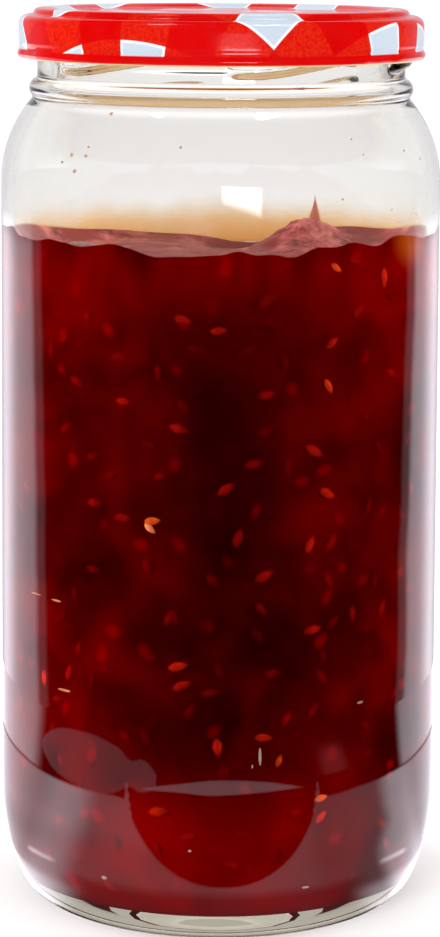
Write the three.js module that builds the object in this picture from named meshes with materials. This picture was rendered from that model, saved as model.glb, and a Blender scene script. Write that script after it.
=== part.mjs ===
// One litre glass jar of berry jam with a pressed metal twist-off lid.
// Millimetres, +Z up. The origin is on the floor, under the middle of the base. -Y is the front.
import * as THREE from 'three';

// Round shapes have this many sides, ten to each of the six thread starts.
const SIDES = 60;

// Outside of the glass
const CONTACT_RADIUS_INNER = 36.4;
const CONTACT_RADIUS = 39.0;
const PUSH_UP_RADIUS = 34.6;
const PUSH_UP_EDGE = 0.9;
const PUSH_UP_HEIGHT = 3.4;
const HEEL_HEIGHT = 27.2;
const BODY_RADIUS_LOW = 47.35;
const BODY_RADIUS_HIGH = 46.6;
const SHOULDER_START = 155.1;
const SHOULDER_BEND_RADIUS = 26.4;
const SHOULDER_BEND = THREE.MathUtils.degToRad(38);
const COLLAR_RADIUS = 40.4;
const COLLAR_BOTTOM = 172.5;
const COLLAR_TOP = 176.9;
const COLLAR_ROUNDING = 1.0;
const NECK_RADIUS = 38.85;
const NECK_BOTTOM = 177.3;
const NECK_RINGS = 11;
const RIM_TOP = 190.4;
const RIM_ROUNDING = 1.1;

// Inside of the glass
const BORE_RADIUS = 35.9;
const SIDE_WALL = 2.5;
const FLOOR_EDGE_RADIUS = 38.4;
const FLOOR_EDGE_HEIGHT = 6.2;
const FLOOR_CENTRE_HEIGHT = 8.0;
const INNER_HEEL_TOP = 30;
const NECK_BLEND_TOP = 177.5;
const NECK_BLEND_KNEE = 173.0;

// Thread lugs on the neck: short ridges that climb to the right
const THREAD_STARTS = 6;
const THREAD_PITCH = 360 / THREAD_STARTS;
const THREAD_FIRST_ANGLE = 2;
const THREAD_SPAN = 62;
const THREAD_DEPTH = 1.55;
const THREAD_HALF_WIDTH = 1.45;
const THREAD_LOW_HEIGHT = 180.0;
const THREAD_LEVEL_SPAN = 13;
const THREAD_CLIMB = 0.125;
const THREAD_END_TAPER = 9;

// Lid, a pressed shell
const LID_TOP = 191.4;
const LID_METAL = 0.5;
const PANEL_RECESS = 0.9;
const PANEL_RADIUS = 33.6;
const RING_RADIUS_INNER = 36.1;
const RING_RADIUS_OUTER = 38.5;
const RING_EDGE = 0.8;
const STEP_RADIUS = 40.4;
const STEP_DEPTH = 1.4;
const SKIRT_RADIUS = 42.7;
const SKIRT_ROUNDING = 2.0;
const CURL_RADIUS = 1.05;
const CURL_BULGE = 0.3;
const LID_BOTTOM = 181.0;
const SKIRT_BOTTOM = 184.0;

// Lid lugs: six places where the curl is pressed in under the glass thread
const LID_LUG_ANGLE = 50;
const LID_LUG_HALF_SPAN = 8;
const LID_LUG_DEPTH = 1.0;
const LID_LUG_DENT_SHARE = 0.4;

// Jam: its top is uneven and climbs the glass. The rings of the top are shares of its radius.
const JAM_GAP = 0.3;
const JAM_TOP_RINGS = [1, 0.96, 0.9, 0.82, 0.72, 0.6, 0.45, 0.3, 0.15, 0];
const JAM_TOP_RADIUS = BODY_RADIUS_HIGH - SIDE_WALL - JAM_GAP;
const JAM_LEVEL = 138.6;
const JAM_FRONT_CLIMB = 5.7;
const JAM_BACK_CLIMB = 0.8;
const JAM_SIDE_CLIMB = 3.7;
const JAM_CLIMB_WIDTH = 4.0;
const JAM_HUMP = { x: 19, y: 25, height: 5.6, radius: 9 };
const JAM_DIP = { x: 6, y: 37, height: -4.4, radius: 9 };
const JAM_WAVE = { height: 0.4, across: 6, along: 8 };

const point = (radius, height) => new THREE.Vector2(radius, height);

// Points of an arc about a centre in the radius and height plane. Angle 0 points away from the axis.
function arc(centreRadius, centreHeight, size, from, to, steps) {
  const points = [];
  for (let i = 0; i <= steps; i += 1) {
    const angle = THREE.MathUtils.lerp(from, to, i / steps);
    const radius = centreRadius + size * Math.cos(angle);
    points.push(point(radius, centreHeight + size * Math.sin(angle)));
  }
  return points;
}

// Points of the heel, a quarter of an ellipse that starts level and ends upright.
function heel(innerRadius, bottom, outerRadius, top, steps) {
  const points = [];
  for (let i = 0; i <= steps; i += 1) {
    const angle = (Math.PI / 2) * (i / steps);
    const radius = innerRadius + (outerRadius - innerRadius) * Math.sin(angle);
    points.push(point(radius, bottom + (top - bottom) * (1 - Math.cos(angle))));
  }
  return points;
}

// Points of a shallow dome from the axis out to its edge.
function dome(centreHeight, edgeRadius, edgeHeight, steps) {
  const points = [];
  for (let i = 0; i <= steps; i += 1) {
    const share = i / steps;
    const height = THREE.MathUtils.lerp(centreHeight, edgeHeight, share * share);
    points.push(point(edgeRadius * share, height));
  }
  return points;
}

// Turns a profile about the vertical axis. Side 0 faces the front.
function revolve(profile) {
  return new THREE.LatheGeometry(profile, SIDES).rotateX(Math.PI / 2);
}

// Moves every vertex by a rule that gets its radius, its angle and its height, and gives
// the new radius and height. The angle grows from the front towards +X.
function reshape(geometry, rule) {
  const place = geometry.attributes.position;
  for (let i = 0; i < place.count; i += 1) {
    const radius = Math.hypot(place.getX(i), place.getY(i));
    const angle = Math.atan2(place.getX(i), -place.getY(i));
    const moved = rule(radius, angle, place.getZ(i));
    place.setXYZ(i, moved.radius * Math.sin(angle), -moved.radius * Math.cos(angle), moved.height);
  }
  geometry.computeVertexNormals();
  return geometry;
}

// Degrees from one of the six starts to an angle, from 0 up to 60.
function degreesPastStart(angle, firstDegrees) {
  const turned = THREE.MathUtils.radToDeg(angle) - firstDegrees;
  return THREE.MathUtils.euclideanModulo(turned, THREAD_PITCH);
}

// Height of the middle of a thread ridge: level at its low end, then climbing.
function threadHeight(degrees) {
  const past = degrees - THREAD_LEVEL_SPAN;
  const softly = (past + Math.hypot(past, THREAD_LEVEL_SPAN / 2)) / 2;
  return THREAD_LOW_HEIGHT + THREAD_CLIMB * softly;
}

// How far one thread ridge stands out at a place, from 0 to 1.
function threadRidge(degrees, height) {
  const across = Math.abs(height - threadHeight(degrees)) / THREAD_HALF_WIDTH;
  const rounded = 1 - THREE.MathUtils.smoothstep(across, 0.35, 1.15);
  const lowEnd = THREE.MathUtils.smoothstep(degrees, 0, THREAD_END_TAPER);
  const highEnd = 1 - THREE.MathUtils.smoothstep(degrees, THREAD_SPAN - THREAD_END_TAPER, THREAD_SPAN);
  return rounded * lowEnd * highEnd;
}

// The outer outline of the glass, from the middle of the base up to the rim.
function glassOutside() {
  const shoulderCentre = BODY_RADIUS_HIGH - SHOULDER_BEND_RADIUS;
  const rimOuter = NECK_RADIUS - RIM_ROUNDING;
  const neckTop = RIM_TOP - 2 * RIM_ROUNDING;
  const collarBend = COLLAR_RADIUS - COLLAR_ROUNDING;
  const neck = [];
  for (let i = 0; i < NECK_RINGS; i += 1) {
    neck.push(point(NECK_RADIUS, THREE.MathUtils.lerp(NECK_BOTTOM, neckTop, i / (NECK_RINGS - 1))));
  }
  return [
    ...dome(PUSH_UP_HEIGHT, PUSH_UP_RADIUS, PUSH_UP_EDGE, 3),
    point(CONTACT_RADIUS_INNER, 0),
    ...heel(CONTACT_RADIUS, 0, BODY_RADIUS_LOW, HEEL_HEIGHT, 8),
    ...arc(shoulderCentre, SHOULDER_START, SHOULDER_BEND_RADIUS, 0, SHOULDER_BEND, 6),
    point(COLLAR_RADIUS, COLLAR_BOTTOM),
    ...arc(collarBend, COLLAR_TOP - COLLAR_ROUNDING, COLLAR_ROUNDING, 0, Math.PI / 2, 3),
    ...neck,
    point(rimOuter, RIM_TOP),
  ];
}

// Stretches of the inner outline of the glass, each running down towards the middle of the floor.
// A clearance above 0 gives the outline of something that fills the glass.
function glassInside(clearance, floorSteps) {
  const wall = SIDE_WALL + clearance;
  const bendRadius = SHOULDER_BEND_RADIUS - wall;
  const shoulderCentre = BODY_RADIUS_HIGH - SHOULDER_BEND_RADIUS;
  const floorEdge = FLOOR_EDGE_HEIGHT + clearance;
  const innerHeel = heel(
    FLOOR_EDGE_RADIUS - clearance,
    floorEdge,
    BODY_RADIUS_LOW - wall,
    INNER_HEEL_TOP,
    6,
  );
  const floor = dome(FLOOR_CENTRE_HEIGHT + clearance, FLOOR_EDGE_RADIUS - clearance, floorEdge, floorSteps);
  return {
    shoulder: arc(shoulderCentre, SHOULDER_START, bendRadius, SHOULDER_BEND, 0, 4),
    heel: innerHeel.reverse(),
    floor: floor.reverse().slice(1),
  };
}

function glassGeometry() {
  const inside = glassInside(0, 3);
  const rimInner = BORE_RADIUS + RIM_ROUNDING;
  const neckBlend = new THREE.QuadraticBezierCurve(
    point(BORE_RADIUS, NECK_BLEND_TOP),
    point(BORE_RADIUS, NECK_BLEND_KNEE),
    inside.shoulder[0],
  );
  const profile = [
    ...glassOutside(),
    point(rimInner, RIM_TOP),
    point(BORE_RADIUS, RIM_TOP - RIM_ROUNDING),
    ...neckBlend.getPoints(3),
    ...inside.shoulder.slice(1),
    ...inside.heel,
    ...inside.floor,
  ];
  return reshape(revolve(profile), (radius, angle, height) => {
    const onNeck = Math.abs(radius - NECK_RADIUS) < 0.01 && height > NECK_BOTTOM;
    if (!onNeck) return { radius, height };
    const past = degreesPastStart(angle, THREAD_FIRST_ANGLE);
    const ridge = Math.max(threadRidge(past, height), threadRidge(past + THREAD_PITCH, height));
    return { radius: radius + THREAD_DEPTH * ridge, height };
  });
}

// The top of the lid from the middle out: panel, raised ring and the way down to the step. Each
// point has its depth below the top, and how far the underside is shifted there by the metal.
const LID_TOP_LINE = [
  { radius: 0, depth: PANEL_RECESS, shift: 0 },
  { radius: PANEL_RADIUS, depth: PANEL_RECESS, shift: 0.2 },
  { radius: RING_RADIUS_INNER - RING_EDGE, depth: 0.2, shift: 0.3 },
  { radius: RING_RADIUS_INNER, depth: 0, shift: 0.1 },
  { radius: RING_RADIUS_OUTER, depth: 0, shift: -0.1 },
  { radius: RING_RADIUS_OUTER + RING_EDGE, depth: 0.35, shift: -0.4 },
  { radius: STEP_RADIUS - RING_EDGE, depth: STEP_DEPTH - 0.25, shift: -0.3 },
];

// How far the curl is pressed in at a place, from 0 between the lugs to 1 on a lug.
function lugPress(angle, height) {
  const half = THREAD_PITCH / 2;
  const fromLug = Math.abs(degreesPastStart(angle, LID_LUG_ANGLE - half) - half);
  const along = 1 - THREE.MathUtils.smoothstep(fromLug, LID_LUG_HALF_SPAN / 2, LID_LUG_HALF_SPAN);
  const lowDown = 1 - THREE.MathUtils.smoothstep(height, LID_BOTTOM + 1.6, SKIRT_BOTTOM);
  return along * lowDown;
}

function lidGeometry() {
  const curlCentre = SKIRT_RADIUS + CURL_BULGE - CURL_RADIUS;
  const curlHeight = LID_BOTTOM + CURL_RADIUS;
  const stepTop = LID_TOP - STEP_DEPTH;
  const bendRadius = SKIRT_RADIUS - SKIRT_ROUNDING;
  const bendHeight = stepTop - SKIRT_ROUNDING;
  const inDownwardOrder = [
    ...LID_TOP_LINE.map((at) => point(at.radius, LID_TOP - at.depth)),
    point(STEP_RADIUS, stepTop),
    ...arc(bendRadius, bendHeight, SKIRT_ROUNDING, Math.PI / 2, 0, 4).slice(1),
    point(SKIRT_RADIUS, SKIRT_BOTTOM),
    ...arc(curlCentre, curlHeight, CURL_RADIUS, Math.PI / 6, -1.25 * Math.PI, 8),
    point(SKIRT_RADIUS - LID_METAL, SKIRT_BOTTOM),
    ...arc(bendRadius, bendHeight, SKIRT_ROUNDING - LID_METAL, 0, Math.PI / 2, 3),
    ...LID_TOP_LINE.map((at) => point(at.radius + at.shift, LID_TOP - at.depth - LID_METAL)).reverse(),
  ];
  return reshape(revolve(inDownwardOrder.reverse()), (radius, angle, height) => {
    const share = radius < curlCentre ? 1 : LID_LUG_DENT_SHARE;
    return { radius: radius - LID_LUG_DEPTH * share * lugPress(angle, height), height };
  });
}

// A round rise, or a hollow where its height is below 0.
function mound(shape, x, y) {
  const away = Math.hypot(x - shape.x, y - shape.y) / shape.radius;
  return shape.height * Math.exp(-away * away);
}

// Height of the top of the jam. It clings to the glass, most at the sides and least at the back.
function jamTop(radius, angle) {
  const x = radius * Math.sin(angle);
  const y = -radius * Math.cos(angle);
  const front = (1 + Math.cos(angle)) / 2;
  const side = JAM_SIDE_CLIMB * Math.sin(angle) ** 2;
  const climb = THREE.MathUtils.lerp(JAM_BACK_CLIMB, JAM_FRONT_CLIMB, front) + side;
  const atWall = Math.exp(-(JAM_TOP_RADIUS - radius) / JAM_CLIMB_WIDTH);
  const wave = JAM_WAVE.height * Math.sin(x / JAM_WAVE.across + 1) * Math.cos(y / JAM_WAVE.along);
  return JAM_LEVEL + climb * atWall + wave + mound(JAM_HUMP, x, y) + mound(JAM_DIP, x, y);
}

function jamGeometry() {
  const inside = glassInside(JAM_GAP, 2);
  const bottomUp = [...inside.heel, ...inside.floor].reverse();
  const top = JAM_TOP_RINGS.map((share) => point(JAM_TOP_RADIUS * share, JAM_LEVEL));
  return reshape(revolve([...bottomUp, ...top]), (radius, angle, height) => {
    const isTop = height >= JAM_LEVEL;
    return { radius, height: isTop ? jamTop(radius, angle) : height };
  });
}

function piece(name, geometry, look) {
  const mesh = new THREE.Mesh(geometry, new THREE.MeshStandardMaterial(look));
  mesh.name = name;
  return mesh;
}

const jar = new THREE.Group();
jar.add(
  piece('jar_glass', glassGeometry(), {
    color: 0xeceae6,
    roughness: 0.04,
    metalness: 0,
    transparent: true,
    opacity: 0.35,
  }),
  piece('lid', lidGeometry(), { color: 0xd9140c, roughness: 0.25, metalness: 0.1 }),
  piece('jam', jamGeometry(), { color: 0x6a0507, roughness: 0.15, metalness: 0 }),
);

export default jar;
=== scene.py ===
"""Jar of dark berry jam with a gingham twist-off lid: looks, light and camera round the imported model.

Lengths are in millimetres until a mesh is made, which turns them into metres. Lamps and the camera
are placed in metres, and so is what a material reads. Angles go round the jar from the front (-Y)
towards +X.
"""

import math
import random

import bpy
import numpy as np
from mathutils import Matrix, Vector, noise

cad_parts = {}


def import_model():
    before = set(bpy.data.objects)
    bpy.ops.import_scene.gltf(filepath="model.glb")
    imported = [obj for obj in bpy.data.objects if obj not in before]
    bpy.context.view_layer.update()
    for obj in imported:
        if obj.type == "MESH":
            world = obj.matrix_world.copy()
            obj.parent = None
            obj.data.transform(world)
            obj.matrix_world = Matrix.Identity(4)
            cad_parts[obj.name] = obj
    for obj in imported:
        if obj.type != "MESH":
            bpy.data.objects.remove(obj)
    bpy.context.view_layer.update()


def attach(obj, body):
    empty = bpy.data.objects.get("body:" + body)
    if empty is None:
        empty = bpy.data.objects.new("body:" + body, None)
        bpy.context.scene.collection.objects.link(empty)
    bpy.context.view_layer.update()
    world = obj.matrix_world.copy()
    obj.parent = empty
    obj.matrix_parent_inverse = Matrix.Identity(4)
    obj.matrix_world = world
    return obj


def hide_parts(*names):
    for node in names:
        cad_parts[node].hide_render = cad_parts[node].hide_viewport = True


MM = 0.001

# The glass outside, as in the solid model
SIDES = 240
BASE_HOLLOW_HEIGHT = 3.4
BASE_HOLLOW_EDGE = (34.0, 1.2)
CONTACT_RING = [(34.6, 0.9), (35.2, 0.45), (35.9, 0.12), (36.8, 0.0), (38.2, 0.0)]
HEEL_START_RADIUS = 39.0
HEEL_HEIGHT = 27.2
BODY_RADIUS_LOW = 47.35
BODY_RADIUS_HIGH = 46.6
SHOULDER_START = 155.1
SHOULDER_BEND_RADIUS = 26.4
SHOULDER_BEND = math.radians(38)
OUTER_SHOULDER_BEND = math.radians(41.2)
COLLAR_HOLLOW = (39.92, 172.85)
COLLAR_BEAD_MIDDLE = (38.3, 174.7)
COLLAR_BEAD_SIZE = 2.25
COLLAR_BEAD_FROM = math.radians(-42)
COLLAR_BEAD_TO = math.radians(62)
COLLAR_TOP = 177.0
NECK_RADIUS = 38.85
NECK_BOTTOM = 177.3
RIM_TOP = 190.4
RIM_ROUNDING = 1.1

# The glass inside
BORE_RADIUS = 35.9
SIDE_WALL = 2.5
FLOOR_EDGE_RADIUS = 38.4
FLOOR_EDGE_HEIGHT = 6.2
FLOOR_CENTRE_HEIGHT = 8.0
INNER_HEEL_TOP = 30.0
BORE_BOTTOM = 179.6
BORE_KNEE = 175.2

# Threads
THREAD_PITCH = 60.0
THREAD_FIRST_ANGLE = 2.0
THREAD_SPAN = 62.0
THREAD_DEPTH = 1.55
THREAD_HALF_WIDTH = 1.45
THREAD_LOW_HEIGHT = 180.0
THREAD_LEVEL_SPAN = 13.0
THREAD_CLIMB = 0.125
THREAD_END_TAPER = 9.0
THREAD_CREST = 0.35
THREAD_FOOT = 1.15

# Lid
LID_TOP = 191.4
LID_METAL = 0.5
PANEL_RADIUS = 33.2
PANEL_DEPTH = 0.9
STEP_DEPTH = 1.4
STEP_RADIUS = 40.5
SKIRT_RADIUS = 42.7
SKIRT_ROUNDING = 2.0
CURL_RADIUS = 1.05
CURL_BULGE = 0.3
LID_BOTTOM = 181.0
SKIRT_BOTTOM = 184.0
LID_LUG_ANGLE = 50.0
LID_LUG_HALF_SPAN = 8.0
LID_LUG_DEPTH = 1.0
LID_LUG_DENT_SHARE = 0.4

# The printed gingham: one check, its turn and where a white check has its middle on the flat sheet
CHECK_SIZE = 10.75
CHECK_TURN = math.radians(62)
CHECK_MIDDLE = (-8.3, 18.7)
RED_RIM_TOP = 183.1
RED_RIM_BLEND = 0.2

# Jam. It reaches into the wall by this much, so that no gap shows behind the glass.
INTO_WALL = 0.3
JAM_LEVEL = 138.6
JAM_TOP_RADIUS = 44.5
JAM_FLOOR_GAP = 0.06
JAM_FLOOR_EDGE = (37.7, 6.6)

# The jam's top: its climb at the glass, and its hump and dip by x and y
CLIMB_BACK, CLIMB_FRONT, CLIMB_SIDES = 0.8, 5.7, 3.7
CLIMB_END = 44.2
CLIMB_WIDTH = 4
HUMP = (19, 25)
HUMP_HEIGHT = 5.6
DIP = (6, 37)
DIP_DEPTH = 4.4
MOUND_SPREAD = 81

# A height over this one marks a point of the top, which gets its true height later
UNDER_TOP = 999.0

# The radius that turns lengths on the jam's side into angles
SIDE_RADIUS = 44

# Where light that comes through at the right edge is painted on as an amber spot, and where the skin has
# its clear pool. The pool is round in a space that is stretched by the three factors.
AMBER_LIGHT_SPOT = (38.6, -22.3, 147)
POOL_STRETCH = (0.55, 1.0, 0.3)
POOL_MIDDLE = (-3, 4, 42)

# Seeds: their count and size, how deep they lie, the gap between them, and the share of daylight painted
# on the deep ones
SEED_COUNT = 330
SEED_LENGTH, SEED_WIDTH, SEED_THICKNESS = 4.6, 2.2, 1.0
SEED_DEPTH = 0.12
SEED_GAP = 4.5
SEED_LOWEST, SEED_HIGHEST = 12, 136
DEEP_SEED_SHARES = [0.0, 0.06, 0.12, 0.2, 0.32]

# Film of syrup on the glass over the jam, round the back
FILM_FROM, FILM_TO = 72, 288
FILM_BOTTOM = 137.5
FILM_TOP = 149.0
FILM_END_TOP = 141.0
FILM_SHEETS = (-0.16, 0.12)

# Smears on the glass, with pockets and glints painted as highlights: each kind's number in the material,
# how far they sink into the wall, the spike's angle, height, width and height across, and the specks'
# angles and heights
SMEAR_KINDS = {"speck": 0.0, "pocket_highlight": 0.4, "glint": 0.7, "spike": 1.0}
SMEAR_SINK = 0.12
POCKET_GAP = 0.05
SPIKE = (150.5, 143.6, 4.0, 10.4)
SPECKS = [(-46, 161), (-43, 162.5), (-38, 162.5), (-41, 159.5), (-34, 170.5), (58, 163), (66, 161)]

# Seeds that show best from the front: angle, height, turn on the glass, and share of daylight painted on
# them
FRONT_SEEDS = [
    (-9, 131, 15, 0.6),
    (0, 129, -5, 0.62),
    (12, 135, -35, 0.35),
    (30, 126, -35, 0.6),
    (29, 117, 60, 0.78),
    (31, 141, 35, 0.82),
    (37, 142, 25, 0.4),
    (38, 132, -45, 0.4),
    (47, 138, 88, 0.7),
    (-25, 114, 5, 0.55),
    (-26, 123, 0, 0.25),
    (-39, 117, 20, 0.3),
    (-10, 109, 15, 0.55),
    (12, 116, -15, 0.5),
    (25, 104, 30, 0.6),
    (9, 102, -15, 0.45),
    (2, 97, -35, 0.55),
    (29, 95, 30, 0.65),
    (-25, 90, 3, 0.45),
    (-17, 89.9, -8, 0.9),
    (-17.7, 88.3, 42, 0.95),
    (5, 87, -75, 0.5),
    (24, 85, -65, 0.6),
    (12, 79, -30, 0.55),
    (25, 67, -10, 0.55),
    (37, 69, 85, 0.35),
    (-10, 60, -15, 0.7),
    (-9, 56, -25, 0.6),
    (-52, 53, 88, 0.75),
    (-42, 56, -70, 0.5),
    (12, 45, 3, 0.7),
    (18, 49, -60, 0.35),
    (0, 43, 85, 0.65),
    (16, 40, -70, 0.8),
    (-15, 29, -8, 0.7),
    (-7, 24, -5, 0.5),
    (4, 18, 20, 0.5),
    (28, 31, -10, 0.88),
    (28, 27, -45, 0.74),
    (-30, 11, 30, 0.4),
]

# Pale slivers of air and wet edges between jam and glass, their paleness a painted highlight; the long
# one at the jam's top edge
# is a painted wet highlight on its skin: angle, height, width, height across
AIR_POCKET_HIGHLIGHTS = [
    (11, 41, 0.8, 5.2),
    (9, 39, 0.5, 1.2),
    (40, 50, 2.2, 0.8),
    (-7, 21, 0.7, 0.6),
    (-31, 13, 1.3, 0.8),
    (24, 12, 1.6, 0.5),
    (-37, 145.2, 9.0, 0.9),
]

# Painted amber highlights where wet seeds touch the glass: angle, height, width, height across
AMBER_GLINTS = [
    (-44, 51.7, 5.2, 0.8),
    (-47, 70.4, 4.0, 0.6),
    (-56, 70.6, 5.0, 0.4),
]


def smoothstep(value, low, high):
    share = min(1.0, max(0.0, (value - low) / (high - low)))
    return share * share * (3 - 2 * share)


def lerp(low, high, share):
    return low + (high - low) * share


def place(radius, angle, height):
    """A point in mm from its radius, its angle in radians and its height."""
    return (radius * math.sin(angle), -radius * math.cos(angle), height)


def arc(centre_radius, centre_height, size, start, end, steps):
    angles = [lerp(start, end, i / steps) for i in range(steps + 1)]
    return [(centre_radius + size * math.cos(a), centre_height + size * math.sin(a)) for a in angles]


def heel(inner, bottom, outer, top, steps):
    angles = [math.pi / 2 * i / steps for i in range(steps + 1)]
    across, up = outer - inner, top - bottom
    return [(inner + across * math.sin(a), bottom + up * (1 - math.cos(a))) for a in angles]


def dome(centre, edge_radius, edge, steps):
    shares = [i / steps for i in range(steps + 1)]
    return [(edge_radius * s, lerp(centre, edge, s * s)) for s in shares]


def straight(start, end, steps):
    """Points between two points, without the two."""
    shares = [i / steps for i in range(1, steps)]
    return [(lerp(start[0], end[0], s), lerp(start[1], end[1], s)) for s in shares]


def wave(u, v, w=0.0):
    """Smooth noise at a place, about -1 to 1."""
    return noise.noise(Vector((u, v, w)))


def mound(x, y, middle, spread):
    """A soft round rise, one high over its middle."""
    return math.exp(-((x - middle[0]) ** 2 + (y - middle[1]) ** 2) / spread)


def make_mesh(name, points, faces):
    mesh = bpy.data.meshes.new(name)
    mesh.from_pydata([(x * MM, y * MM, z * MM) for x, y, z in points], [], faces)
    mesh.validate()
    mesh.shade_smooth()
    piece = bpy.data.objects.new(name, mesh)
    bpy.context.scene.collection.objects.link(piece)
    return piece


def revolve(name, profile, rule):
    """A mesh turned about the upright axis. The rule gives each point its new radius and height."""
    points, rings, faces = [], [], []
    for radius, height in profile:
        if radius < 1e-6:
            rings.append([len(points)])
            points.append((0.0, 0.0, rule(0.0, 0.0, height)[1]))
            continue
        ring = []
        for i in range(SIDES):
            angle = 2 * math.pi * i / SIDES
            r, z = rule(radius, angle, height)
            ring.append(len(points))
            points.append(place(r, angle, z))
        rings.append(ring)
    for low, high in zip(rings, rings[1:]):
        for i in range(SIDES):
            j = (i + 1) % SIDES
            if len(low) == 1:
                faces.append((low[0], high[j], high[i]))
            elif len(high) == 1:
                faces.append((low[i], low[j], high[0]))
            else:
                faces.append((low[i], low[j], high[j], high[i]))
    return make_mesh(name, points, faces)


def add_attribute(piece, name, values):
    """A number at each vertex, for the material to read."""
    attribute = piece.data.attributes.new(name, "FLOAT", "POINT")
    attribute.data.foreach_set("value", np.array(values, np.float32))


# Shapes


def glass_outside():
    shoulder_centre = BODY_RADIUS_HIGH - SHOULDER_BEND_RADIUS
    collar = arc(*COLLAR_BEAD_MIDDLE, COLLAR_BEAD_SIZE, COLLAR_BEAD_FROM, COLLAR_BEAD_TO, 16)
    neck_top = RIM_TOP - 2 * RIM_ROUNDING
    neck = [(NECK_RADIUS, lerp(NECK_BOTTOM, neck_top, i / 36)) for i in range(37)]
    body = heel(HEEL_START_RADIUS, 0.0, BODY_RADIUS_LOW, HEEL_HEIGHT, 22)
    shoulder = arc(shoulder_centre, SHOULDER_START, SHOULDER_BEND_RADIUS, 0, OUTER_SHOULDER_BEND, 18)
    return [
        *dome(BASE_HOLLOW_HEIGHT, *BASE_HOLLOW_EDGE, 8),
        *CONTACT_RING,
        *body,
        *straight(body[-1], shoulder[0], 16),
        *shoulder,
        COLLAR_HOLLOW,
        *collar,
        (NECK_RADIUS + 0.2, COLLAR_TOP),
        *neck,
        *arc(NECK_RADIUS - RIM_ROUNDING, RIM_TOP - RIM_ROUNDING, RIM_ROUNDING, 0, math.pi / 2, 5)[1:],
    ]


def glass_inside(clearance, heel_steps, floor_steps):
    wall = SIDE_WALL + clearance
    centre = BODY_RADIUS_HIGH - SHOULDER_BEND_RADIUS
    edge = FLOOR_EDGE_HEIGHT + clearance
    edge_radius = FLOOR_EDGE_RADIUS - clearance
    return {
        "shoulder": arc(centre, SHOULDER_START, SHOULDER_BEND_RADIUS - wall, SHOULDER_BEND, 0, 14),
        "heel": heel(edge_radius, edge, BODY_RADIUS_LOW - wall, INNER_HEEL_TOP, heel_steps)[::-1],
        "floor": dome(FLOOR_CENTRE_HEIGHT + clearance, edge_radius, edge, floor_steps)[::-1][1:],
    }


def neck_blend(end, steps):
    """The curve inside, from the straight bore down to the shoulder."""
    start, knee = (BORE_RADIUS, BORE_BOTTOM), (BORE_RADIUS, BORE_KNEE)
    points = []
    for i in range(steps + 1):
        t = i / steps
        shares = ((1 - t) ** 2, 2 * t * (1 - t), t * t)
        points.append(tuple(sum(w * at[k] for w, at in zip(shares, (start, knee, end))) for k in (0, 1)))
    return points


def thread_ridge(degrees, height):
    past = degrees - THREAD_LEVEL_SPAN
    middle = THREAD_LOW_HEIGHT + THREAD_CLIMB * (past + math.hypot(past, THREAD_LEVEL_SPAN / 2)) / 2
    across = abs(height - middle) / THREAD_HALF_WIDTH
    ends = smoothstep(degrees, 0, THREAD_END_TAPER)
    ends *= 1 - smoothstep(degrees, THREAD_SPAN - THREAD_END_TAPER, THREAD_SPAN)
    return (1 - smoothstep(across, THREAD_CREST, THREAD_FOOT)) * ends


def add_threads(radius, angle, height):
    if abs(radius - NECK_RADIUS) > 0.01 or height < NECK_BOTTOM:
        return radius, height
    past = (math.degrees(angle) - THREAD_FIRST_ANGLE) % THREAD_PITCH
    ridge = max(thread_ridge(past, height), thread_ridge(past + THREAD_PITCH, height))
    return radius + THREAD_DEPTH * ridge, height


def jar_shape():
    inside = glass_inside(0, 18, 8)
    blend = neck_blend(inside["shoulder"][0], 10)
    rim = arc(BORE_RADIUS + RIM_ROUNDING, RIM_TOP - RIM_ROUNDING, RIM_ROUNDING, math.pi / 2, math.pi, 5)
    profile = [
        *glass_outside(),
        *rim,
        *straight(rim[-1], blend[0], 4),
        *blend,
        *inside["shoulder"][1:],
        *straight(inside["shoulder"][-1], inside["heel"][0], 16),
        *inside["heel"],
        *inside["floor"],
    ]
    return revolve("jar", profile, add_threads)


def lid_top_line():
    """The lid's top from the middle out, as radius and height, with soft corners."""
    panel = [(PANEL_RADIUS * s, PANEL_DEPTH) for s in (0, 0.2, 0.4, 0.6, 0.75, 0.88, 0.96)]
    rise = [(33.1, 0.9), (33.7, 0.84), (34.3, 0.66), (34.9, 0.38), (35.4, 0.16), (36.0, 0.03)]
    ring = [(36.8, 0.0), (37.9, 0.0), (38.6, 0.05), (39.1, 0.2)]
    step = [(39.35, 0.45), (39.5, 0.8), (39.65, 1.1), (39.95, 1.32), (STEP_RADIUS, STEP_DEPTH)]
    return [(radius, LID_TOP - depth) for radius, depth in panel + rise + ring + step]


def lid_profile():
    """The lid's outside and inside as one line, top middle first."""
    bend = SKIRT_RADIUS - SKIRT_ROUNDING
    bend_height = LID_TOP - STEP_DEPTH - SKIRT_ROUNDING
    curl = SKIRT_RADIUS + CURL_BULGE - CURL_RADIUS
    curl_height = LID_BOTTOM + CURL_RADIUS
    top = lid_top_line()
    skirt = arc(bend, bend_height, SKIRT_ROUNDING, math.pi / 2, 0, 8)[1:]
    under = [(max(0.0, r - 0.12), z - LID_METAL) for r, z in top][::-1]
    return [
        *top,
        *skirt,
        *straight(skirt[-1], (SKIRT_RADIUS, SKIRT_BOTTOM + 0.6), 8),
        (SKIRT_RADIUS, SKIRT_BOTTOM + 0.6),
        (SKIRT_RADIUS - 0.02, SKIRT_BOTTOM),
        (SKIRT_RADIUS - 0.22, SKIRT_BOTTOM - 0.55),
        *arc(curl, curl_height, CURL_RADIUS, math.radians(40), -1.25 * math.pi, 22),
        (SKIRT_RADIUS - LID_METAL, SKIRT_BOTTOM),
        *straight((SKIRT_RADIUS - LID_METAL, SKIRT_BOTTOM), (SKIRT_RADIUS - LID_METAL, bend_height), 4),
        *arc(bend, bend_height, SKIRT_ROUNDING - LID_METAL, 0, math.pi / 2, 6),
        *under,
    ]


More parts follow.
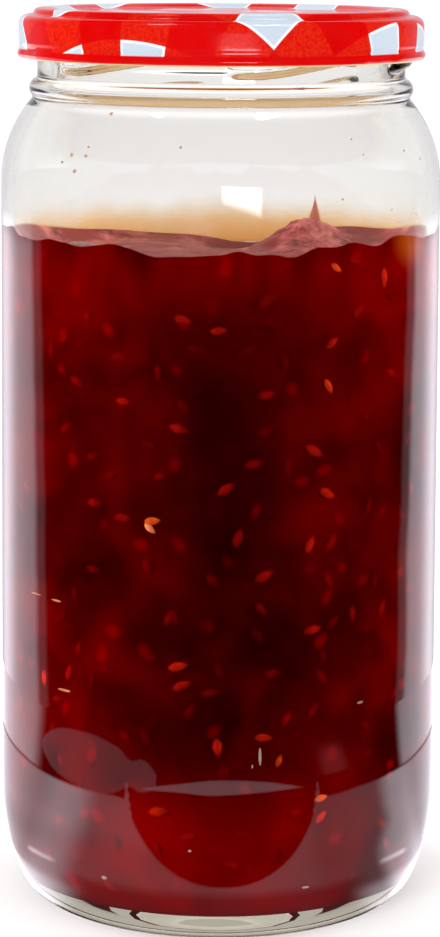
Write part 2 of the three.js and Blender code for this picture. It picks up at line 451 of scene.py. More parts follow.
def press_lugs(radius, angle, height):
    half = THREAD_PITCH / 2
    from_lug = abs((math.degrees(angle) - LID_LUG_ANGLE + half) % THREAD_PITCH - half)
    press = 1 - smoothstep(from_lug, LID_LUG_HALF_SPAN / 2, LID_LUG_HALF_SPAN)
    press *= 1 - smoothstep(height, LID_BOTTOM + 1.6, SKIRT_BOTTOM)
    share = 1 if radius < SKIRT_RADIUS + CURL_BULGE - CURL_RADIUS else LID_LUG_DENT_SHARE
    return radius - LID_LUG_DEPTH * share * press, height


def lid_shape():
    line = lid_profile()
    run = [0.0]
    for a, b in zip(line, line[1:]):
        run.append(run[-1] + math.dist(a, b))
    skirt_from = 40
    outside = next(i for i, at in enumerate(line) if i > skirt_from and at[1] < LID_BOTTOM + 0.4)
    lid = revolve("lid_shell", line[::-1], press_lugs)
    lid_slots(lid, line[::-1], len(line) - 1 - outside)
    sheet_map(lid, line[::-1], run[::-1])
    return lid


def lid_slots(lid, line, outer_from):
    """Faces of the inside take the second material."""
    quads = len(line) - 1
    index = []
    for k in range(quads):
        index += [0 if k >= outer_from else 1] * SIDES
    lid.data.polygons.foreach_set("material_index", index)


def sheet_map(lid, line, run):
    """The place of every corner on the flat printed sheet, in metres, as a UV map."""
    layer = lid.data.uv_layers.new(name="sheet")
    at = []
    for (radius, _), s in zip(line, run):
        if radius < 1e-6:
            at.append((0.0, 0.0))
            continue
        for i in range(SIDES):
            angle = 2 * math.pi * i / SIDES
            at.append((s * math.sin(angle), -s * math.cos(angle)))
    values = []
    for loop in lid.data.loops:
        u, v = at[loop.vertex_index]
        values += [u * MM, v * MM]
    layer.data.foreach_set("uv", values)


def jam_height(x, y):
    """Height of the jam's top at a place: level, climbing at the glass, with a hump and a dip."""
    radius, angle = math.hypot(x, y), math.atan2(x, -y)
    climb = lerp(CLIMB_BACK, CLIMB_FRONT, (1 + math.cos(angle)) / 2) + CLIMB_SIDES * math.sin(angle) ** 2
    height = JAM_LEVEL + climb * math.exp(-max(0.0, CLIMB_END - radius) / CLIMB_WIDTH)
    height += 0.4 * math.sin(x / 6 + 1) * math.cos(y / 8)
    height += HUMP_HEIGHT * mound(x, y, HUMP, MOUND_SPREAD)
    height -= DIP_DEPTH * mound(x, y, DIP, MOUND_SPREAD)
    return height


def jam_lumps(x, y):
    """Fruit under the skin: soft lumps, rough on the hump, and a ragged line at the front glass."""
    radius, angle = math.hypot(x, y), math.atan2(x, -y)
    hump = mound(x, y, HUMP, 260)
    calm = smoothstep(JAM_TOP_RADIUS - radius, 0.5, 4)
    broad = 0.55 * wave(x / 7, y / 7, 3.1)
    fine = (0.12 + 0.55 * hump) * wave(x / 2.2, y / 2.2, 7.7)
    grains = 0.5 * hump * max(0.0, wave(x / 1.1, y / 1.1, 1.3))
    ragged = 2.4 * wave(angle * 2.6, 9.1) + 1.1 * wave(angle * 9, 4.4)
    ragged *= smoothstep(radius, 39, 44) * smoothstep(math.cos(angle), -0.1, 0.5)
    return (broad + fine + grains) * calm + ragged


def jam_shape():
    inside = glass_inside(-INTO_WALL, 16, 2)
    bottom = dome(FLOOR_CENTRE_HEIGHT + JAM_FLOOR_GAP, *JAM_FLOOR_EDGE, 8)
    upward = [*bottom, *inside["heel"][::-1]]
    wall = straight(inside["heel"][0], (JAM_TOP_RADIUS, JAM_LEVEL), 24)
    rings = 66
    top = [(JAM_TOP_RADIUS * (1 - i / rings), UNDER_TOP + 1) for i in range(rings + 1)]

    def rule(radius, angle, height):
        """Points of the top come with a height over UNDER_TOP and get their own here."""
        if height < UNDER_TOP:
            return radius, height
        x, y, _ = place(radius, angle, 0)
        return radius, jam_height(x, y) + jam_lumps(x, y)

    jam = revolve("jam_body", [*upward, *wall, *top], rule)
    sides_count = (len(upward) + len(wall)) * SIDES
    count = len(jam.data.polygons)
    jam.data.polygons.foreach_set("material_index", [0] * sides_count + [1] * (count - sides_count))
    return jam


def seed_points(length, width, thick):
    """One seed: a flat drop with a blunt point and a faint keel. Gives its points and faces."""
    rounds, steps = 9, 12
    points, faces = [(0.0, 0.0, -length / 2)], []
    for k in range(1, rounds):
        t = k / rounds
        along = -length / 2 + length * t
        size = math.sin(math.pi * t) ** 0.75 * (1.12 - 0.5 * t)
        for i in range(steps):
            a = 2 * math.pi * i / steps
            keel = 1 + 0.12 * math.cos(2 * a) ** 8
            points.append((width / 2 * size * math.cos(a) * keel, thick / 2 * size * math.sin(a), along))
    points.append((0.0, 0.0, length / 2))
    last = len(points) - 1
    for i in range(steps):
        j = (i + 1) % steps
        faces.append((0, 1 + j, 1 + i))
        for k in range(rounds - 2):
            a, b = 1 + k * steps, 1 + (k + 1) * steps
            faces.append((a + i, a + j, b + j, b + i))
        a = 1 + (rounds - 2) * steps
        faces.append((a + i, a + j, last))
    return points, faces


def jam_wall_radius(height):
    """Radius of the jam's side at a height, by the same outline as the solid."""
    line = glass_inside(-INTO_WALL, 16, 8)["heel"][::-1] + [(JAM_TOP_RADIUS, JAM_LEVEL + 10)]
    for (r0, z0), (r1, z1) in zip(line, line[1:]):
        if z0 <= height <= z1:
            return lerp(r0, r1, (height - z0) / max(1e-6, z1 - z0))
    return line[0][0]


def seed_matrix(angle, height, turn):
    """Stands a seed flat against the glass at a place."""
    radius = jam_wall_radius(height)
    slope = jam_wall_radius(height + 1) - radius
    spot = Matrix.Translation(Vector(place(radius - SEED_DEPTH, angle, height)))
    face = Matrix.Rotation(angle, 4, "Z") @ Matrix.Rotation(math.atan(slope), 4, "X")
    return spot @ face @ Matrix.Rotation(turn, 4, "Y")


def seeds_shape():
    """All seeds as one piece. Each keeps its share of daylight and how far each point faces the glass."""
    rng = random.Random(7)
    points, faces, light, cover = [], [], [], []
    spots = [(math.radians(a), z, math.radians(t), s) for a, z, t, s in FRONT_SEEDS]
    while len(spots) < SEED_COUNT:
        angle, height = rng.uniform(-math.pi, math.pi), rng.uniform(SEED_LOWEST, SEED_HIGHEST)
        if all(math.hypot((s[0] - angle) * SIDE_RADIUS, s[1] - height) >= SEED_GAP for s in spots):
            spots.append((angle, height, rng.uniform(-1.6, 1.6), rng.choice(DEEP_SEED_SHARES)))
    for angle, height, turn, share in spots:
        size = rng.uniform(0.95, 1.25) * (0.8 if share > 0.75 else 1)
        at, quads = seed_points(SEED_LENGTH * size, SEED_WIDTH * size, SEED_THICKNESS * size)
        to = seed_matrix(angle, height, turn + math.pi / 2)
        start = len(points)
        points += [tuple(to @ Vector(p)) for p in at]
        faces += [tuple(start + i for i in q) for q in quads]
        light += [share] * len(at)
        cover += [-p[1] / (SEED_THICKNESS / 2 * size) for p in at]
    seeds = make_mesh("seeds", points, faces)
    add_attribute(seeds, "daylight", light)
    add_attribute(seeds, "cover", cover)
    return seeds


def inner_wall_radius(height):
    """Radius of the inside of the glass above the jam."""
    if height > SHOULDER_START:
        centre, size = BODY_RADIUS_HIGH - SHOULDER_BEND_RADIUS, SHOULDER_BEND_RADIUS - SIDE_WALL
        return centre + math.sqrt(size**2 - (height - SHOULDER_START) ** 2)
    share = (height - INNER_HEEL_TOP) / (SHOULDER_START - INNER_HEEL_TOP)
    return lerp(BODY_RADIUS_LOW, BODY_RADIUS_HIGH, share) - SIDE_WALL


def film_shape():
    """Thin syrup left on the glass round the back, from under the jam's edge up to a ragged line."""
    columns, rows = 150, 14
    points, faces, density = [], [], []
    for out in FILM_SHEETS:
        for i in range(columns + 1):
            angle = math.radians(lerp(FILM_FROM, FILM_TO, i / columns))
            ragged = FILM_TOP + 2.0 * wave(i / 16, 2.2) + 0.6 * wave(i / 5, 5.1)
            end = min(i, columns - i) / 16
            top = lerp(FILM_END_TOP, ragged, min(1, end))
            for k in range(rows + 1):
                z = lerp(FILM_BOTTOM, top, k / rows)
                points.append(place(inner_wall_radius(z) + out, angle, z))
                density.append((1 - k / rows) ** 1.15 * min(1.0, end + 0.1))
    sheet = (columns + 1) * (rows + 1)
    for i in range(columns):
        for k in range(rows):
            a, b = i * (rows + 1) + k, (i + 1) * (rows + 1) + k
            faces.append((a, a + 1, b + 1, b))
            faces.append((sheet + b, sheet + b + 1, sheet + a + 1, sheet + a))
        a, b = i * (rows + 1), (i + 1) * (rows + 1)
        faces.append((a, b, sheet + b, sheet + a))
        faces.append((a + rows, sheet + a + rows, sheet + b + rows, b + rows))
    for a in (0, columns * (rows + 1)):
        for k in range(rows):
            quad = (a + k, sheet + a + k, sheet + a + k + 1, a + k + 1)
            faces.append(quad if a else quad[::-1])
    film = make_mesh("syrup_film", points, faces)
    add_attribute(film, "syrup", density)
    return film


def smears_shape():
    """The pointed smear on the back wall over the hump, air pockets and amber glints that are painted
    highlights, and small specks.
    """
    rng = random.Random(3)
    points, faces, kinds = [], [], []

    def dab(angle, height, across, up, thick, kind):
        """One rounded smear on the wall. Pockets and glints, which are painted highlights, lie between
        the jam and the glass.
        """
        start, around, rings = len(points), 14, 5
        for k in range(rings + 1):
            share = k / rings
            for i in range(around):
                a = 2 * math.pi * i / around
                reach = share * (1 + 0.22 * wave(math.cos(a) + angle * 9, math.sin(a) + height))
                x, z = across / 2 * reach * math.cos(a), up / 2 * reach * math.sin(a)
                if kind == "spike":
                    x *= max(0.06, 0.5 - z / up) ** 1.3 * 2
                rise = thick * math.sqrt(max(0.0, 1 - share * share)) - SMEAR_SINK
                if kind in ("pocket_highlight", "glint"):
                    rise = -INTO_WALL - POCKET_GAP - rise
                r = inner_wall_radius(height + z) - rise
                points.append(place(r, math.radians(angle) + x / SIDE_RADIUS, height + z))
                kinds.append(SMEAR_KINDS[kind])
        for k in range(rings):
            for i in range(around):
                j = (i + 1) % around
                a, b = start + k * around, start + (k + 1) * around
                faces.append((a + i, b + i, b + j, a + j))

    dab(*SPIKE, 0.45, "spike")
    for angle, height, across, up in AIR_POCKET_HIGHLIGHTS:
        dab(angle, height, across, up, 0.1, "pocket_highlight")
    for angle, height, across, up in AMBER_GLINTS:
        dab(angle, height, across, up, 0.1, "glint")
    for angle, height in SPECKS:
        size = rng.uniform(0.4, 0.9)
        dab(angle, height, size * 1.3, size, 0.2, "speck")
    for _ in range(9):
        size = rng.uniform(0.2, 0.45)
        dab(rng.uniform(-180, 180), rng.uniform(149, 168), size * 1.2, size, 0.15, "speck")
    smears = make_mesh("smears", points, faces)
    add_attribute(smears, "kind", kinds)
    return smears


# Materials


class Nodes:
    """Short ways to add and link nodes of one material."""

    def __init__(self, name):
        self.material = bpy.data.materials.new(name)
        self.material.use_nodes = True
        self.tree = self.material.node_tree
        self.tree.nodes.clear()
        self.output = self.tree.nodes.new("ShaderNodeOutputMaterial")

    def add(self, kind, inputs=None, **settings):
        node = self.tree.nodes.new("ShaderNode" + kind)
        for name, value in settings.items():
            setattr(node, name, value)
        for name, value in (inputs or {}).items():
            if isinstance(value, bpy.types.NodeSocket):
                self.tree.links.new(value, node.inputs[name])
            else:
                node.inputs[name].default_value = value
        return node

    def math(self, operation, *values):
        return self.add("Math", {i: v for i, v in enumerate(values)}, operation=operation).outputs[0]

    def ramp(self, fac, stops):
        node = self.add("ValToRGB", {"Fac": fac})
        ends = node.color_ramp.elements
        while len(ends) < len(stops):
            ends.new(0.5)
        for element, (at, colour) in zip(ends, stops):
            element.position = at
            element.color = (*colour, 1)
        return node.outputs[0]

    def mix(self, fac, a, b, blend="MIX"):
        node = self.add("Mix", data_type="RGBA", blend_type=blend)
        for socket, value in zip((node.inputs[0], node.inputs[6], node.inputs[7]), (fac, a, b)):
            if isinstance(value, bpy.types.NodeSocket):
                self.tree.links.new(value, socket)
            else:
                socket.default_value = value if not isinstance(value, tuple) else (*value, 1)
        return node.outputs[2]

    def noise(self, vector, scale, detail):
        return self.add("TexNoise", {"Vector": vector, "Scale": scale, "Detail": detail}).outputs["Fac"]

    def place(self):
        """Where on the piece a point lies, in metres."""
        return self.add("TexCoord").outputs["Object"]

    def attribute(self, name):
        """The number that the mesh keeps at each vertex."""
        return self.add("Attribute", attribute_name=name).outputs["Fac"]

    def span(self, value, low, high, to_low=0.0, to_high=1.0, shape="LINEAR"):
        """A value between two ends, stretched to two others and held there."""
        inputs = {0: value, 1: low, 2: high, 3: to_low, 4: to_high}
        return self.add("MapRange", inputs, interpolation_type=shape).outputs[0]

    def soft_span(self, value, low, high, to_low=0.0, to_high=1.0):
        """The same with rounded ends."""
        return self.span(value, low, high, to_low, to_high, "SMOOTHSTEP")

    def distance(self, vector, spot):
        return self.add("VectorMath", {0: vector, 1: spot}, operation="DISTANCE").outputs["Value"]

    def shader(self, **inputs):
        named = {name.replace("_", " "): value for name, value in inputs.items()}
        node = self.add("BsdfPrincipled", named)
        self.tree.links.new(node.outputs[0], self.output.inputs["Surface"])
        return node


def glass_material():
    n = Nodes("clear glass")
    at = n.place()
    uneven = n.noise(at, 55.0, 1.0)
    bump = n.add("Bump", {"Height": uneven, "Strength": 0.05, "Distance": 0.0015})
    pale = (0.955, 0.95, 0.945, 1.0)
    n.shader(Base_Color=pale, Roughness=0.0, IOR=1.5, Transmission_Weight=1.0, Normal=bump.outputs[0])
    depth = n.add("VolumeAbsorption", {"Color": (0.57, 0.53, 0.42, 1), "Density": 20.0})
    n.tree.links.new(depth.outputs[0], n.output.inputs["Volume"])
    return n.material


def gingham(n):
    """Two sets of stripes on the printed sheet: how far each place is from the middle of a white one."""
    at = n.add("UVMap", uv_map="sheet").outputs[0]
    move = n.add("Mapping", {"Vector": at}, vector_type="TEXTURE")
    move.inputs["Location"].default_value = (CHECK_MIDDLE[0] * MM, CHECK_MIDDLE[1] * MM, 0)
    move.inputs["Rotation"].default_value = (0, 0, CHECK_TURN)
    move.inputs["Scale"].default_value = (CHECK_SIZE * MM, CHECK_SIZE * MM, 1)
    parts = n.add("SeparateXYZ", {0: move.outputs[0]})
    return [n.math("PINGPONG", parts.outputs[axis], 1.0) for axis in (0, 1)]


def lid_paint():
    """Red checks on white. Half red checks are mottled like linen, and white ones have a paler edge."""
    n = Nodes("gingham lacquer")
    waves = gingham(n)
    at = n.place()
    bands = [n.span(w, 0.492, 0.508) for w in waves]
    both = n.math("MULTIPLY", bands[0], bands[1])
    either = n.math("MAXIMUM", bands[0], bands[1])
    edge = n.span(n.math("MAXIMUM", *waves), 0.44, 0.465)
    linen = n.span(n.noise(at, 1500.0, 2.0), 0.36, 0.64)
    white = n.mix(edge, (0.53, 0.60, 0.685), (0.83, 0.83, 0.85))
    colour = n.mix(either, white, n.mix(linen, (0.60, 0.003, 0.001), (0.67, 0.018, 0.004)))
    red = (0.60, 0.0002, 0.0002)
    colour = n.mix(both, colour, red)
    height = n.add("SeparateXYZ", {0: at}).outputs[2]
    rim = n.span(height, RED_RIM_TOP * MM, (RED_RIM_TOP - RED_RIM_BLEND) * MM)
    rough = n.span(n.noise(at, 260.0, 3.0), 0.3, 0.7, 0.10, 0.17)
    n.shader(Base_Color=n.mix(rim, colour, red), Roughness=rough, Specular_IOR_Level=0.25)
    return n.material


def lid_inside_material():
    n = Nodes("gold lacquer")
    at = n.place()
    tone = n.noise(at, 120.0, 3.0)
    colour = n.mix(tone, (0.50, 0.35, 0.15), (0.60, 0.45, 0.24))
    # Painted light: the lacquer glows a little, so that the inside of the lid does not go dark where
    # little light gets in.
    glow = n.mix(1.0, colour, (0.4, 0.4, 0.4), "MULTIPLY")
    n.shader(Base_Color=colour, Metallic=0.15, Roughness=0.35, Emission_Color=glow, Emission_Strength=1.0)
    return n.material


def jam_side_material():
    """Deep red, cloudy with fruit. Painted light: paler near the top, more towards the right, and near
    the bottom in the middle, where more light gets through.
    """
    n = Nodes("jam behind glass")
    at = n.place()
    warp = n.add("TexNoise", {"Vector": at, "Scale": 45.0, "Detail": 2.0}).outputs["Color"]
    warp = n.add("VectorMath", {0: warp, 1: (0.012, 0.012, 0.012), 2: at}, operation="MULTIPLY_ADD")
    bent = warp.outputs[0]
    lumps = n.noise(bent, 52.0, 3.0)
    base = n.ramp(lumps, [(0.3, (0.026, 0.0, 0.0)), (0.5, (0.056, 0.0, 0.0)), (0.7, (0.105, 0.0, 0.0))])
    flesh = n.add("TexVoronoi", {"Vector": bent, "Scale": 95.0}, feature="SMOOTH_F1").outputs["Distance"]
    glow = n.soft_span(flesh, 0.42, 0.8)
    base = n.mix(n.math("MULTIPLY", glow, 0.75), base, (0.13, 0.0, 0.0))
    deep = n.add("TexVoronoi", {"Vector": bent, "Scale": 130.0})
    blur = n.soft_span(deep.outputs["Distance"], 0.26, 0.08)
    some = n.math("GREATER_THAN", n.add("SeparateColor", {0: deep.outputs["Color"]}).outputs[0], 0.5)
    base = n.mix(n.math("MULTIPLY", blur, n.math("MULTIPLY", some, 0.7)), base, (0.20, 0.0, 0.0))
    x, _, height = n.add("SeparateXYZ", {0: at}).outputs
    # Painted light: paler near the top, more towards the right, and paler near the bottom in the middle.
    top = n.math("MULTIPLY", n.soft_span(height, 0.118, 0.146), n.span(x, -0.036, 0.004, 0.05, 0.11))
    middle = n.soft_span(n.math("ABSOLUTE", x), 0.034, 0.006)
    low = n.math("MULTIPLY", n.math("MULTIPLY", n.soft_span(height, 0.050, 0.016), middle), 0.15)
    painted_light = n.add("CombineXYZ", {0: n.math("MAXIMUM", top, low)}).outputs[0]
    base = n.mix(1.0, base, painted_light, "ADD")
    # Painted light: an amber spot where light comes through at the right edge.
    amber = n.soft_span(n.distance(at, tuple(c * MM for c in AMBER_LIGHT_SPOT)), 0.0090, 0.0025)
    base = n.mix(amber, base, (0.36, 0.05, 0.004))
    n.shader(Base_Color=base, Roughness=0.6, Specular_IOR_Level=0.0)
    return n.material


def jam_top_material():
    """Wet skin of the jam: deep red and amber where it is clear, mauve where fine froth lies on it, with
    painted sheen in that mauve.
    """
    n = Nodes("wet jam")
    at = n.place()
    lumps = n.noise(at, 150.0, 3.0)
    fine = n.noise(at, 900.0, 3.0)
    foam_and_sheen = n.math("ADD", n.math("MULTIPLY", lumps, 0.7), n.math("MULTIPLY", fine, 0.3))
    # Painted sheen: the pale mauve stops stand in for the skin's reflection as well as real froth.
    stops = [(0.40, (0.14, 0.003, 0.003)), (0.50, (0.38, 0.055, 0.045)), (0.60, (0.56, 0.15, 0.13))]
    base = n.ramp(foam_and_sheen, stops + [(0.72, (0.78, 0.38, 0.34))])
    clear = n.span(n.noise(at, 65.0, 1.0), 0.47, 0.54)
    wide = n.add("VectorMath", {0: at, 1: POOL_STRETCH}, operation="MULTIPLY").outputs[0]
    away = n.distance(wide, tuple(c * MM for c in POOL_MIDDLE))
    edge = n.math("MULTIPLY_ADD", n.noise(at, 140.0, 2.0), 0.012, away)
    pool = n.span(edge, 0.0205, 0.0165)
    base = n.mix(n.math("MAXIMUM", clear, pool), base, (0.24, 0.010, 0.003))
    bump = n.add("Bump", {"Height": fine, "Strength": 0.4, "Distance": 0.0006})
    n.shader(Base_Color=base, Roughness=0.42, Specular_IOR_Level=0.06, Normal=bump.outputs[0])
    return n.material


def seed_material():
    """Each seed's share of daylight is painted into its colour: seeds near the glass are orange and
    sharp, deeper ones are red with soft edges.
    """
    n = Nodes("berry seed")
    at = n.place()
    painted_daylight = n.attribute("daylight")
    cover = n.attribute("cover")
    tone = n.span(n.noise(at, 500.0, 2.0), 0.3, 0.7, 0.65, 1.15)
    stops = [(0.0, (0.10, 0.0, 0.0)), (0.5, (0.26, 0.002, 0.001)), (0.75, (0.42, 0.010, 0.002))]
    colour = n.ramp(painted_daylight, stops + [(0.9, (0.66, 0.07, 0.008)), (1.0, (0.86, 0.32, 0.12))])
    shade = n.add("CombineXYZ", {0: tone, 1: tone, 2: tone}).outputs[0]
    colour = n.mix(1.0, colour, shade, "MULTIPLY")
    sharp = n.span(painted_daylight, 0.2, 0.9, 1.35, 0.65)
    veil = n.soft_span(cover, 0.2, sharp)
    n.shader(Base_Color=colour, Roughness=0.5, Specular_IOR_Level=0.0, Alpha=veil)
    return n.material


def film_material():
    """Thin amber syrup. Light from behind that shows through it is painted on as a faint glow."""
    n = Nodes("amber syrup")
    thick = n.attribute("syrup")
    at = n.place()
    cloud = n.noise(at, 70.0, 2.0)
    stops = [(0.0, (0.72, 0.60, 0.38)), (0.45, (0.67, 0.45, 0.18)), (0.9, (0.60, 0.29, 0.06))]
    colour = n.ramp(thick, stops)
    full = n.soft_span(thick, 0.0, 0.7, 0.0, 0.95)
    veil = n.math("MULTIPLY", full, n.span(cloud, 0.3, 0.6, 0.65, 1.0))
    glow = n.mix(1.0, colour, (0.6, 0.6, 0.6), "MULTIPLY")
    n.shader(
        Base_Color=colour,
        Roughness=0.2,
        Specular_IOR_Level=0.2,
        Alpha=veil,
        Emission_Color=glow,
        Emission_Strength=1.0,
    )
    return n.material


def smear_material():
    """One colour for each kind of smear, with fine changes of tone. The pale colours of the air pockets
    and amber glints are painted highlights.
    """
    n = Nodes("smeared jam")
    kind = n.attribute("kind")
    at = n.place()
    tone = n.noise(at, 900.0, 2.0)
    kinds = [SMEAR_KINDS[name] for name in ("speck", "pocket_highlight", "glint", "spike")]
    darks = [(0.50, 0.22, 0.09), (0.42, 0.20, 0.15), (0.85, 0.22, 0.05), (0.62, 0.16, 0.08)]
    lights = [(0.78, 0.50, 0.28), (0.66, 0.50, 0.46), (1.0, 0.50, 0.22), (0.80, 0.34, 0.18)]
    dark, light = [n.ramp(kind, list(zip(kinds, colours))) for colours in (darks, lights)]
    n.shader(Base_Color=n.mix(tone, dark, light), Roughness=0.3, Specular_IOR_Level=0.3)
    return n.material


# Stage

# Heights of the floor, the sheet seen through the base, and the sheet that the glass reflects
FLOOR_HEIGHT = -0.05
UNDER_LIGHT_HEIGHT = -0.03
TABLE_SHEET_HEIGHT = 0.05

# The ring wall and the angles where its two soft boxes start, and the height from which cards are set
WALL_RADIUS = 1300
LEFT_BOX_FROM, RIGHT_BOX_FROM = 104, 111
CARD_EYE_HEIGHT = 160

# The paper on the table: its turn, the distance of its front edge, and the angle of its corners
TABLE_TURN = 2.5
PAPER_FRONT = 62
PAPER_CORNER = 44

# Camera, with its place in metres
CAMERA_PLACE = (0.0002, -0.6247, 0.2092)
CAMERA_DOWN = math.radians(10.565)
CAMERA_ROLL = 0.00577
CAMERA_LENS = 112.58


def glow_material(name):
    """Plain light whose strength is written on the mesh."""
    n = Nodes(name)
    strength = n.attribute("glow")
    light = n.add("Emission", {"Color": (1.0, 0.965, 1.06, 1), "Strength": strength})
    n.tree.links.new(light.outputs[0], n.output.inputs["Surface"])
    return n.material


def only_reflected(piece):
    piece.visible_camera = False
    piece.visible_transmission = False
    piece.visible_shadow = False
    piece.visible_diffuse = False


def floor():
    """A wide round floor of plain pale paper, just under the jar."""
    radii, turns = (60, 150, 400, 1200, 4000, 12000), 64
    points, faces = [(0, 0, FLOOR_HEIGHT)], []
    for r in radii:
        points += [place(r, 2 * math.pi * i / turns, FLOOR_HEIGHT) for i in range(turns)]
    for k in range(len(radii)):
        for i in range(turns):
            j = (i + 1) % turns
            a, b = 1 + (k - 1) * turns, 1 + k * turns
            faces.append((0, b + i, b + j) if k == 0 else (a + i, b + i, b + j, a + j))
    ground = make_mesh("floor", points, faces)
    n = Nodes("pale floor")
    tone = n.noise(n.place(), 3.0, 2.0)
    pale = n.mix(tone, (0.93, 0.93, 0.93), (0.95, 0.95, 0.95))
    n.shader(
        Base_Color=pale,
        Roughness=0.9,
        Specular_IOR_Level=0.0,
        Emission_Color=pale,
        Emission_Strength=0.07,
    )
    ground.data.materials.append(n.material)
    ground.visible_glossy = False


def wall_glow(degrees, height):
    """Brightness round the jar: dark in front, two big soft boxes behind at the sides."""
    a = abs(degrees)
    start = (LEFT_BOX_FROM if degrees < 0 else RIGHT_BOX_FROM) + 0.02 * (height + 60)
    start += 2.2 * wave(height / 55, 4.0 if degrees < 0 else 8.0)
    side = 0.35 * smoothstep(a, start - 2, start + 2) + 1.45 * smoothstep(a, start + 5, start + 11)
    side += 0.7 * smoothstep(a, 128, 144)
    behind = smoothstep(a, 146, 166)
    high = smoothstep(height, 4, 34)
    return lerp(side * (1 - 0.85 * high), 0.9 - 0.2 * high, behind)


def studio_wall():
    """A ring of light round the set, which only reflections see."""
    points, faces, glow = [], [], []
    heights = [-900, -600] + [-450 + 20 * k for k in range(32)] + [400, 900, 1400]
    turns = 300
    for z in heights:
        for i in range(turns):
            degrees = -180 + 360 * i / turns
            points.append(place(WALL_RADIUS, math.radians(degrees), z))
            glow.append(wall_glow(degrees, z))
    for k in range(len(heights) - 1):
        for i in range(turns):
            j = (i + 1) % turns
            a, b = k * turns, (k + 1) * turns
            faces.append((a + j, a + i, b + i, b + j))
    wall = make_mesh("studio_wall", points, faces)
    add_attribute(wall, "glow", glow)
    wall.data.materials.append(glow_material("studio wall"))
    only_reflected(wall)


def soft_card(name, distance, left, right, low, high, drop, strength):
    """A soft box given by the angles that it spans and its distance, which only reflections see."""
    points, faces, glow = [], [], []
    across, up = 24, 16
    for k in range(up + 1):
        for i in range(across + 1):
            u, v = 2 * i / across - 1, 2 * k / up - 1
            turn = math.radians(lerp(left, right, i / across))
            rise = math.radians(lerp(low, high, k / up))
            x, y, _ = place(distance * math.cos(rise), turn, 0)
            points.append((x, y, CARD_EYE_HEIGHT + distance * math.sin(rise) - drop * i / across))
            glow.append(strength * smoothstep(1 - u * u, 0, 0.35) * smoothstep(1 - v * v, 0, 0.35))
    for k in range(up):
        for i in range(across):
            a = k * (across + 1) + i
            faces.append((a + 1, a, a + across + 1, a + across + 2))
    card = make_mesh(name, points, faces)
    add_attribute(card, "glow", glow)
    card.data.materials.append(glow_material(name))
    only_reflected(card)


def under_light():
    """A pale sheet right under the jar, seen through its thick base."""
    turns = 96
    points = [(0, 0, UNDER_LIGHT_HEIGHT)]
    for r in (20, 34, 47):
        points += [place(r, 2 * math.pi * i / turns, UNDER_LIGHT_HEIGHT) for i in range(turns)]
    faces = [(0, 1 + i, 1 + (i + 1) % turns) for i in range(turns)]
    for a in (1, 1 + turns):
        b = a + turns
        faces += [(a + i, b + i, b + (i + 1) % turns, a + (i + 1) % turns) for i in range(turns)]
    sheet = make_mesh("under_light", points, faces)
    add_attribute(sheet, "glow", [1.05] * len(points))
    sheet.data.materials.append(glow_material("under light"))
    sheet.visible_camera = False
    sheet.visible_glossy = False
    sheet.visible_diffuse = False
    sheet.visible_shadow = False


def blob_glow(radius, degrees):
    """A pale rounded patch at the left and a faint streak at the right."""
    middle = 174 - 0.06 * (degrees + 55)
    half = 27 * math.sqrt(max(0.0, 1 - ((degrees + 60) / 33) ** 2))
    half -= 9 * math.exp(-(((degrees + 40) / 4.5) ** 2))
    patch = 1 - smoothstep(abs(radius - middle), half - 1.5, half + 1)
    streak = 1 - smoothstep(abs(degrees - 56 + (radius - 170) * 0.12), 3, 9)
    streak *= smoothstep(radius, 168, 172) * (1 - smoothstep(radius, 185, 205))
    return (0.5 * patch if half > 3 else 0) + 0.2 * streak


def table_glow(radius, degrees):
    """Brightness of the table top as the glass reflects it."""
    turn, off = degrees - TABLE_TURN, abs(degrees)
    a = abs(turn)
    edge = PAPER_FRONT / math.cos(math.radians(min(a, PAPER_CORNER) * 1.56))
    paper = 1 - smoothstep(radius, edge - 0.6, edge + 0.6)
    if a > 43.5:
        paper = 1 - smoothstep(radius, 145, 149)
    if degrees < 0:
        side = 1.0 + 2.1 * smoothstep(-degrees, 52, 68) - 1.5 * smoothstep(-degrees, 72, 94)
        side *= lerp(0.72, 1.0, smoothstep(radius, 74, 108))
    else:
        rise = lerp(64, 76, smoothstep(radius, 66, 104))
        side = 1.0 - 0.35 * smoothstep(degrees, 30, 46) + 2.0 * smoothstep(degrees, rise, rise + 12)
        side -= 0.9 * smoothstep(degrees, 96, 110)
        side *= lerp(0.85, 1.0, smoothstep(radius, 74, 108))
    dim = 0.25 + 0.75 * max(smoothstep(radius, 54, 62), 0.9 * smoothstep(off, 42, 62))
    beyond = 1.9 * smoothstep(radius, 147, 151) * smoothstep(off, 90 if degrees < 0 else 95, 102)
    crescent_out = 176 - 21 * (turn / PAPER_CORNER) ** 2
    crescent = smoothstep(radius, 161, 163) * (1 - smoothstep(radius, crescent_out - 1, crescent_out + 1))
    crescent *= 1 - smoothstep(a, 38, 43)
    corner = 1.3 * smoothstep(off, 46, 58) * (1 - smoothstep(radius, 49, 55))
    curl = 2.7 * math.exp(-(((radius - 63) / 1.4) ** 2))
    curl *= smoothstep(off, 66, 71) * (1 - smoothstep(off, 84, 90))
    return side * dim * paper + beyond + corner + curl + 1.15 * crescent + blob_glow(radius, degrees)


def table_reflection():
    """A round sheet of light just over the floor, which only reflections see."""
    points, faces, glow = [], [], []
    radii = [42 + k for k in range(170)]
    turns = 360
    for r in radii:
        for i in range(turns):
            degrees = -180 + 360 * i / turns
            points.append(place(r, math.radians(degrees), TABLE_SHEET_HEIGHT))
            glow.append(table_glow(r, degrees))
    for k in range(len(radii) - 1):
        for i in range(turns):
            j = (i + 1) % turns
            a, b = k * turns, (k + 1) * turns
            faces.append((a + i, b + i, b + j, a + j))
    sheet = make_mesh("table_reflection", points, faces)
    add_attribute(sheet, "glow", glow)
    sheet.data.materials.append(glow_material("table reflection"))
    only_reflected(sheet)


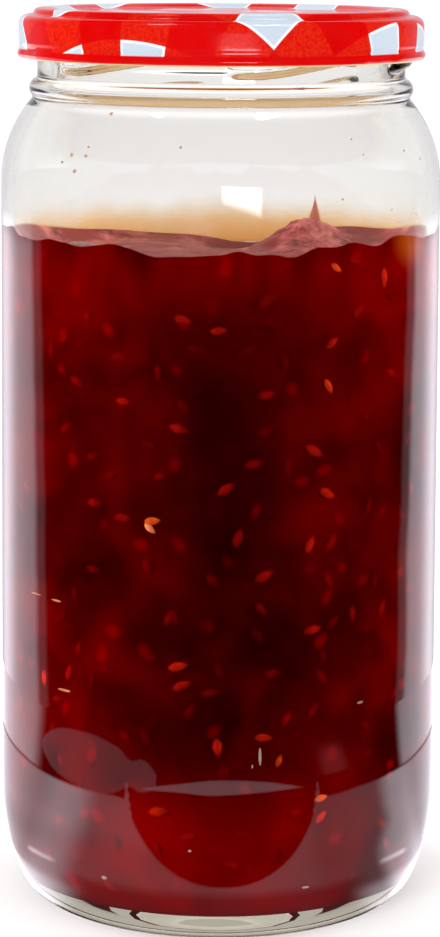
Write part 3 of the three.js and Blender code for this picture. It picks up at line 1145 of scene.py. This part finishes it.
def area_light(name, spot, target, size, power):
    """A soft lamp that neither reflections nor light through the glass see."""
    light = bpy.data.lights.new(name, "AREA")
    light.shape = "RECTANGLE"
    light.size, light.size_y = size
    light.energy = power
    lamp = bpy.data.objects.new(name, light)
    lamp.location = spot
    lamp.rotation_euler = (Vector(target) - Vector(spot)).to_track_quat("-Z", "Y").to_euler()
    lamp.visible_glossy = False
    lamp.visible_transmission = False
    bpy.context.scene.collection.objects.link(lamp)
    return lamp


def lights():
    world = bpy.data.worlds.new("studio")
    world.use_nodes = True
    world.node_tree.nodes["Background"].inputs[0].default_value = (1, 1, 1, 1)
    world.node_tree.nodes["Background"].inputs[1].default_value = 1.02
    world.cycles_visibility.glossy = False
    bpy.context.scene.world = world
    middle = (0, 0, 0.1)
    area_light("left_box", (-1.0, 0.55, 0.5), middle, (0.7, 1.1), 7)
    area_light("right_box", (1.0, 0.55, 0.5), middle, (0.7, 1.1), 7)
    area_light("key", (-0.5, -1.1, 1.3), middle, (0.5, 0.5), 6)


def jam_lights(pieces):
    """Light from both sides that only the jam and its seeds get."""
    glowing = bpy.data.collections.new("jam_only")
    for piece in pieces:
        glowing.objects.link(piece)
    for name, x, power in (("jam_left", -1.0, 25), ("jam_right", 1.0, 18)):
        lamp = area_light(name, (x, -0.1, 0.12), (0, 0, 0.08), (0.25, 0.5), power)
        lamp.light_linking.receiver_collection = glowing


def camera():
    data = bpy.data.cameras.new("camera")
    data.sensor_width = 36
    data.sensor_fit = "AUTO"
    data.lens = CAMERA_LENS
    data.clip_start, data.clip_end = 0.01, 100
    eye = bpy.data.objects.new("camera", data)
    eye.matrix_world = (
        Matrix.Translation(CAMERA_PLACE)
        @ Matrix.Rotation(math.pi / 2 - CAMERA_DOWN, 4, "X")
        @ Matrix.Rotation(CAMERA_ROLL, 4, "Z")
    )
    bpy.context.scene.collection.objects.link(eye)
    bpy.context.scene.camera = eye


def look():
    scene = bpy.context.scene
    scene.view_settings.view_transform = "Standard"
    scene.cycles.max_bounces = 24
    scene.cycles.transmission_bounces = 20
    scene.cycles.glossy_bounces = 6
    scene.cycles.diffuse_bounces = 3
    scene.cycles.transparent_max_bounces = 12


def main():
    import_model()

    jar = jar_shape()
    jar.data.materials.append(glass_material())
    jar.visible_shadow = False
    jar.visible_diffuse = False
    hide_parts("jar_glass")

    lid = lid_shape()
    lid.data.materials.append(lid_paint())
    lid.data.materials.append(lid_inside_material())
    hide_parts("lid")

    jam = jam_shape()
    jam.data.materials.append(jam_side_material())
    jam.data.materials.append(jam_top_material())
    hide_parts("jam")

    seeds = seeds_shape()
    seeds.data.materials.append(seed_material())

    film = film_shape()
    film.data.materials.append(film_material())

    smears = smears_shape()
    smears.data.materials.append(smear_material())

    for piece in (jar, lid, jam, seeds, film, smears):
        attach(piece, "root")

    floor()
    studio_wall()
    table_reflection()
    under_light()
    soft_card("window_card", 190, 0, 19, -4.7, 5.4, 5, 14)
    soft_card("left_glint", 1000, -71, -56, 61, 72, 0, 24)
    soft_card("right_glint", 1000, 34, 76, 63, 74, 0, 24)
    lights()
    jam_lights([jam, seeds])
    camera()
    look()


main()
